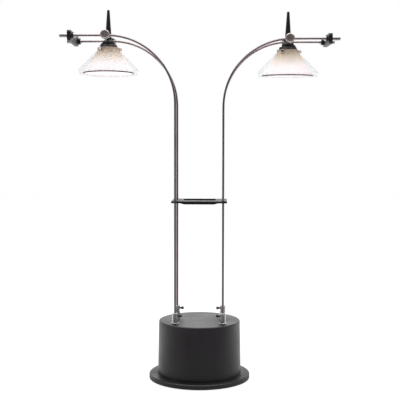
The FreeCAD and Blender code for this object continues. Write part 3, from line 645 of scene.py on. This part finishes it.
def make_clear_shade(arm):
    wide, foot, top = extent(f"shade_clear_{arm}", HEADS[arm])
    rim = wide - RIM_TUCK
    hug_top, hug_foot = (HUG_RADIUS, top), (21.5, top - 4.9)
    outer_flare, inner_turn = (23.1, top - 4.1), (wide - CLEAR_WALL - 0.9, foot + 8.0)
    outer_turn, widest = (wide - 1.2, foot + 8.6), (wide, foot + 6.4)
    outline = [hug_top, (HUG_EDGE, top), outer_flare] + cone_rows(outer_flare, outer_turn)
    outline += [outer_turn, widest, (rim, foot), (rim - CLEAR_WALL, foot)]
    outline += [(wide - CLEAR_WALL, foot + 6.2), inner_turn] + cone_rows(inner_turn, hug_foot)
    outline += [hug_foot, hug_top]
    piece = lathe(f"clear_shade_{arm}", soften(outline, 1.2, 4), HEADS[arm], clear_glass)
    return stand_for(piece, f"{arm}_head", "clear_glass", f"shade_clear_{arm}")


for arm in ARMS:
    print(make_etched_shade(arm).name, make_clear_shade(arm).name)

# %% [markdown]
# The knobs clamp a head to its rods. Each is turned from brass bar, knurled round its rim for grip
# and chrome plated; it kept the lathe's rings, so it looks grey and mottled beside smooth chrome.
# The small gallery screws that hold the inner shade are knurled too, and plated smooth.

# %% Clamp knobs and gallery screws
KNOB_THICK, KNOB_SHANK, KNOB_TIP = 6.5, 2.0, 1.7
KNOB_RIDGES, KNOB_DEPTH = 48, 0.35
GALLERY_LEVEL = 17.2
GALLERY_TIP, GALLERY_SEAT, GALLERY_END = 12.1, 18.0, 21.2
GALLERY_SHANK, GALLERY_HEAD = 1.4, 2.3


def make_clamp_knob(arm, row):
    node = f"clamp_knob_{arm}_{row}"
    facing = HEADS[arm] @ Matrix.Rotation(math.radians(-90 * ROWS[row]), 4, "X")
    radius, tip, face = extent(node, facing)
    back = face - KNOB_THICK
    outline = [(0, tip), (KNOB_TIP, tip), (KNOB_SHANK, tip + 0.3), (KNOB_SHANK, back),
               (radius - 0.7, back), (radius, back + 0.8), (radius, face - 1.4),
               (radius - 0.3, face - 1.1), (radius - 0.9, face), (radius - 1.6, face),
               (radius - 2.0, face - 0.35), (0, face - 0.2)]
    knob = lathe(f"knurled_knob_{arm}_{row}", soften(outline, 0.25), facing, turned_chrome,
                 knurl=(KNOB_RIDGES, KNOB_DEPTH, back + 0.7, face - 1.3))
    return stand_for(knob, node, "chrome", node)


def make_gallery_screws(arm):
    outline = [(0, GALLERY_TIP), (GALLERY_SHANK, GALLERY_TIP), (GALLERY_SHANK, GALLERY_SEAT),
               (GALLERY_HEAD - 0.2, GALLERY_SEAT), (GALLERY_HEAD, GALLERY_SEAT + 0.3),
               (GALLERY_HEAD, GALLERY_END - 0.4), (GALLERY_HEAD - 0.4, GALLERY_END),
               (0, GALLERY_END)]
    lying = (Matrix.Translation((0, 0, -GALLERY_LEVEL * MM))
             @ Matrix.Rotation(math.radians(90), 4, "Y"))
    for number, degrees in enumerate((0, 120, 240)):
        place = HEADS[arm] @ Matrix.Rotation(math.radians(degrees), 4, "Z") @ lying
        screw = lathe(f"gallery_screw_{arm}_{number}", soften(outline, 0.15), place,
                      chrome_plate, knurl=(24, 0.2, GALLERY_SEAT + 0.2, GALLERY_END - 0.3))
        replaced = [f"gallery_screws_{arm}"] if number == 0 else []
        stand_for(screw, f"{arm}_head", "chrome", *replaced)


for arm in ARMS:
    for row in ROWS:
        print(make_clamp_knob(arm, row).name)
    make_gallery_screws(arm)

# %% [markdown]
# The rods stand in plated sockets, and end in plated caps past the end bars. Each socket has a
# stem through the drum's top, a foot ring that spreads its load, and a small broken edge at the
# top where the rod enters.

# %% Sockets and end caps
ROD_GAP = 0.1
STEM_RADIUS, BARREL_RADIUS = 3.9, 4.6
RING_RADIUS, RING_TALL = 6.15, 1.5
CAP_RADIUS = 3.4


def rod_run(arm, row):
    """Radius in mm, the axis of the upright run and the level of the top run of one rod."""
    low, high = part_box(f"rod_{arm}_{row}")
    radius = (high.y - low.y) / 2
    inner = low.x + radius if arm == "right" else high.x - radius
    return radius / MM, (inner, (low.y + high.y) / 2), high.z - radius


def make_socket(arm, row):
    radius, (across, along), _ = rod_run(arm, row)
    drum_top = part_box("drum_housing")[1].z
    foot, top = ((corner.z - drum_top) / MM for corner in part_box("rod_sockets"))
    bore = radius + ROD_GAP
    outline = [(bore, foot), (STEM_RADIUS, foot), (STEM_RADIUS, 0), (RING_RADIUS, 0),
               (RING_RADIUS, RING_TALL), (BARREL_RADIUS, RING_TALL), (BARREL_RADIUS, top - 0.6),
               (BARREL_RADIUS - 0.6, top), (bore, top), (bore, foot)]
    socket = lathe(f"socket_{arm}_{row}", soften(outline, 0.3),
                   Matrix.Translation((across, along, drum_top)), chrome_plate)
    return stand_for(socket, "base", "chrome")


def make_end_cap(arm, row):
    _, (_, along), level = rod_run(arm, row)
    low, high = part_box(f"end_caps_{arm}")
    start, end = (high.x, low.x) if arm == "left" else (low.x, high.x)
    long = abs(end - start) / MM
    outward = Matrix.Rotation(math.radians(90 * ARMS[arm]), 4, "Y")
    outline = [(0, 0), (CAP_RADIUS, 0), (CAP_RADIUS, long - 0.5), (CAP_RADIUS - 0.5, long),
               (0, long)]
    cap = lathe(f"end_cap_{arm}_{row}", soften(outline, 0.3),
                Matrix.Translation((start, along, level)) @ outward, chrome_plate)
    return stand_for(cap, f"{arm}_arm", "chrome")


for arm in ARMS:
    caps = [make_end_cap(arm, row) for row in ROWS]
    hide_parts(f"end_caps_{arm}")
sockets = [make_socket(arm, row) for arm in ARMS for row in ROWS]
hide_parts("rod_sockets")
print("sockets:", len(sockets))

# %% [markdown]
# The lamp stands on a pale floor. The black drum mirrors that floor, and a floor that was bright
# all over would turn it grey. So what shiny surfaces see runs from dark in front to bright behind,
# as it does on a paper sweep lit from the back, while the camera sees plain white. Light that the
# floor scatters upward is bright, because it is what fills the shades from below. The floor isn't
# sampled as a lamp: its glow is found only by the rays that reach it.

# %% Floor
FLOOR_SIZE = 12.0
FLOOR_SEEN = 0.86
FLOOR_SCATTERED = 1.5
SWEEP_START, SWEEP_END = -0.22, 0.2
SWEEP_DARK, SWEEP_BRIGHT = 0.04, 0.9


def make_floor():
    mesh = bpy.data.meshes.new("studio_floor")
    half = FLOOR_SIZE / 2
    corners = [(-half, -half, 0), (half, -half, 0), (half, half, 0), (-half, half, 0)]
    mesh.from_pydata(corners, [], [(0, 1, 2, 3)])
    floor = bpy.data.objects.new("studio_floor", mesh)
    bpy.context.scene.collection.objects.link(floor)
    material, tree, shader = start_material("matt_white_paper", Roughness=0.9)
    tint(tree, grain(tree, 3.0), shader, "#7c7c7c", "#828282")
    shader.inputs["Emission Color"].default_value = linear("#ffffff")
    ray = add_node(tree, "ShaderNodeLightPath").outputs
    place = add_node(tree, "ShaderNodeTexCoord").outputs["Object"]
    along = add_node(tree, "ShaderNodeSeparateXYZ", {"Vector": place}).outputs["Y"]
    sweep = add_node(tree, "ShaderNodeMapRange", {"Value": along, "From Min": SWEEP_START,
                                                  "From Max": SWEEP_END, "To Min": SWEEP_DARK,
                                                  "To Max": SWEEP_BRIGHT},
                     interpolation_type="SMOOTHSTEP")
    bounce = add_node(tree, "ShaderNodeMapRange", {"Value": ray["Is Diffuse Ray"],
                                                   "To Min": sweep.outputs["Result"],
                                                   "To Max": FLOOR_SCATTERED})
    glow = add_node(tree, "ShaderNodeMapRange", {"Value": ray["Is Camera Ray"],
                                                 "To Min": bounce.outputs["Result"],
                                                 "To Max": FLOOR_SEEN})
    tree.links.new(glow.outputs["Result"], shader.inputs["Emission Strength"])
    material.cycles.emission_sampling = "NONE"
    floor.data.materials.append(material)
    return floor


print("made", make_floor().name)

# %% [markdown]
# The room is white to look at. As a light it is dark behind the viewer and bright at the back,
# and that dark side is what gives chrome and steel their shape. A large soft box hangs overhead,
# and two tall strips stand at the sides.

# %% Room and lights
ROOM_BRIGHTNESS = [(0.1, 0.1), (0.5, 0.17), (0.75, 0.42), (0.92, 1.3)]
LAMP_MIDDLE = (0.0, 0.0, 0.3)


def make_room():
    world = bpy.data.worlds.new("studio_room")
    bpy.context.scene.world = world
    world.use_nodes = True
    tree = world.node_tree
    tree.nodes.clear()
    way = add_node(tree, "ShaderNodeTexCoord").outputs["Generated"]
    toward_back = add_node(tree, "ShaderNodeSeparateXYZ", {"Vector": way}).outputs["Y"]
    along = add_node(tree, "ShaderNodeMapRange", {"Value": toward_back, "From Min": -1.0,
                                                  "From Max": 1.0})
    ramp = add_node(tree, "ShaderNodeValToRGB", {"Fac": along.outputs["Result"]})
    stops = ramp.color_ramp.elements
    for number, (position, level) in enumerate(ROOM_BRIGHTNESS):
        stop = stops[number] if number < 2 else stops.new(position)
        stop.position = position
        stop.color = (level, level, level, 1.0)
    room = add_node(tree, "ShaderNodeBackground", {"Color": ramp.outputs["Color"],
                                                   "Strength": 1.0})
    white = add_node(tree, "ShaderNodeBackground", {"Color": linear("#ffffff"),
                                                    "Strength": 1.0})
    seen = add_node(tree, "ShaderNodeLightPath").outputs["Is Camera Ray"]
    both = add_node(tree, "ShaderNodeMixShader", {"Fac": seen})
    tree.links.new(room.outputs[0], both.inputs[1])
    tree.links.new(white.outputs[0], both.inputs[2])
    output = add_node(tree, "ShaderNodeOutputWorld")
    tree.links.new(both.outputs[0], output.inputs["Surface"])


def make_soft_box(name, place, size, power):
    """A rectangular light of a size in metres that faces the middle of the lamp."""
    data = bpy.data.lights.new(name, "AREA")
    data.shape = "RECTANGLE"
    data.size, data.size_y = size
    data.energy = power
    light = bpy.data.objects.new(name, data)
    bpy.context.scene.collection.objects.link(light)
    light.location = place
    facing = Vector(LAMP_MIDDLE) - Vector(place)
    light.rotation_euler = facing.to_track_quat("-Z", "Y").to_euler()


make_room()
make_soft_box("soft_box_above", (0.0, -0.2, 2.2), (3.4, 2.8), 72.0)
make_soft_box("strip_left", (-1.7, -0.6, 0.9), (0.6, 1.6), 4.0)
make_soft_box("strip_right", (1.7, -0.4, 0.9), (0.6, 1.6), 3.0)
print("studio made")

# %% [markdown]

# %% Done
print("scene made")
